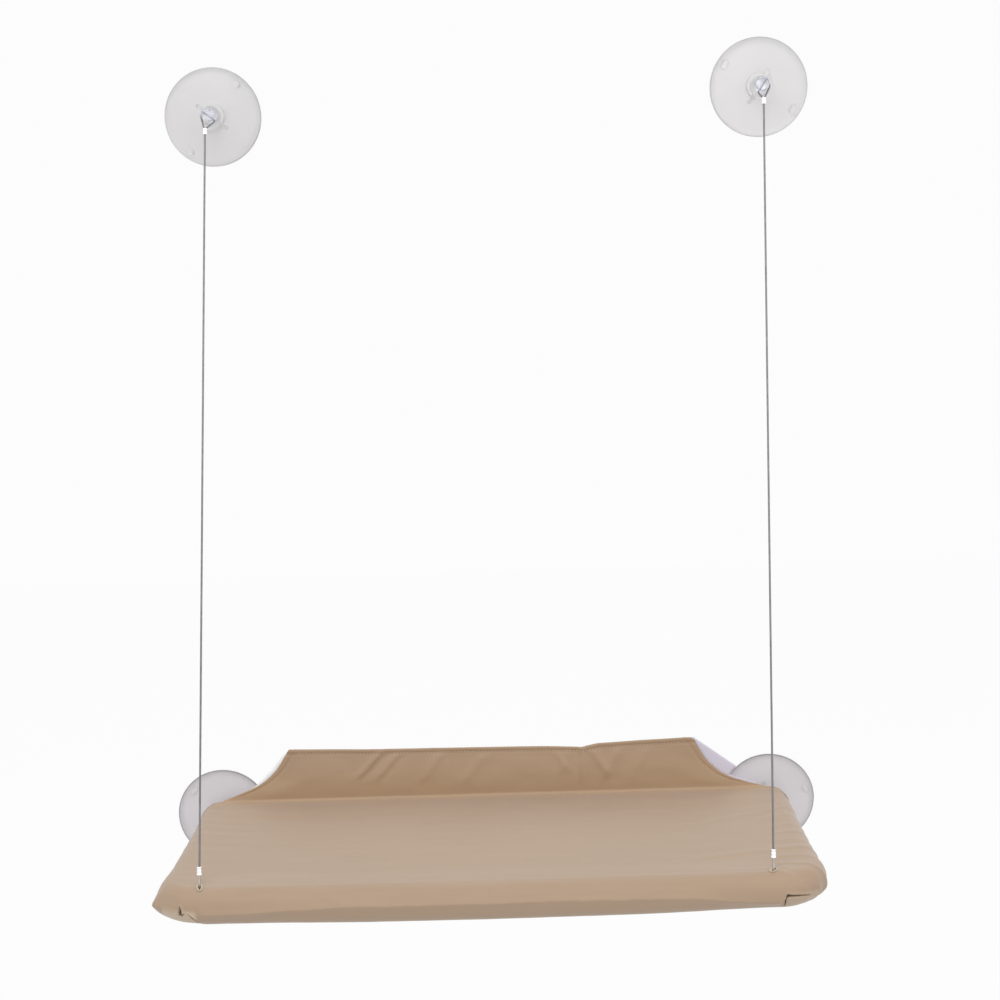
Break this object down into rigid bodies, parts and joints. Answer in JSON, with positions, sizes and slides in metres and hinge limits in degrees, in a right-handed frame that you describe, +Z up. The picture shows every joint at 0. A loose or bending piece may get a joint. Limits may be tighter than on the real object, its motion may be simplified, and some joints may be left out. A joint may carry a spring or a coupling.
{
  "type": "window mounted cat perch",
  "caption": "Window perch for a cat: a cloth covered tube seat with an upright back flap, held to the glass by clear suction cups and hung from wire cables.",
  "frame": {"origin": "on the window glass, midway between the middles of the two lower cups", "axes": "+Z up, +Y into the glass, -Y into the room, +X to the right as seen from the room"},
  "size_m": [0.628, 0.244, 0.772],
  "materials": {
    "clear_cup": "satin",
    "collar_plastic": "satin",
    "wire": "satin",
    "ferrule_metal": "polished",
    "pin_steel": "satin",
    "tube_plastic": "satin",
    "corner_plastic": "satin",
    "cover_cloth": "matte",
    "flap_cloth": "matte",
    "backing_cloth": "matte",
    "patch_cloth": "matte"
  },
  "bodies": {
    "window_cups": {"cup_upper_left": "clear_cup", "cup_upper_right": "clear_cup", "cup_lower_left": "clear_cup", "cup_lower_right": "clear_cup", "collar_left": "collar_plastic", "collar_right": "collar_plastic", "loop_upper_left": "wire", "loop_upper_right": "wire", "ferrule_upper_left": "ferrule_metal", "ferrule_upper_right": "ferrule_metal", "cable_left": "wire", "cable_right": "wire"},
    "seat": {"ferrule_lower_left": "ferrule_metal", "ferrule_lower_right": "ferrule_metal", "loop_lower_left": "wire", "loop_lower_right": "wire", "anchor_pin_left": "pin_steel", "anchor_pin_right": "pin_steel", "front_rail": "tube_plastic", "rear_rail": "tube_plastic", "side_rail_left": "tube_plastic", "side_rail_right": "tube_plastic", "corner_front_left": "corner_plastic", "corner_front_right": "corner_plastic", "corner_rear_left": "corner_plastic", "corner_rear_right": "corner_plastic", "frame_screws": "pin_steel", "seat_cover": "cover_cloth", "grip_patches": "patch_cloth"},
    "flap": {"back_flap": "flap_cloth", "flap_backing": "backing_cloth"}
  },
  "joints": [
    {"name": "seat_fold", "type": "hinge", "parent": "window_cups", "child": "seat", "pos_m": [0, -0.017, 0], "axis": [-1, 0, 0], "range_deg": [0, 40], "deforming": ["cable_left", "cable_right"]},
    {"name": "flap_fold", "type": "hinge", "parent": "seat", "child": "flap", "pos_m": [0, -0.016, 0.017], "axis": [1, 0, 0], "range_deg": [0, 40]}
  ],
  "couplings": [
    {"joint": "flap_fold", "follows": "seat_fold", "ratio": 1}
  ]
}
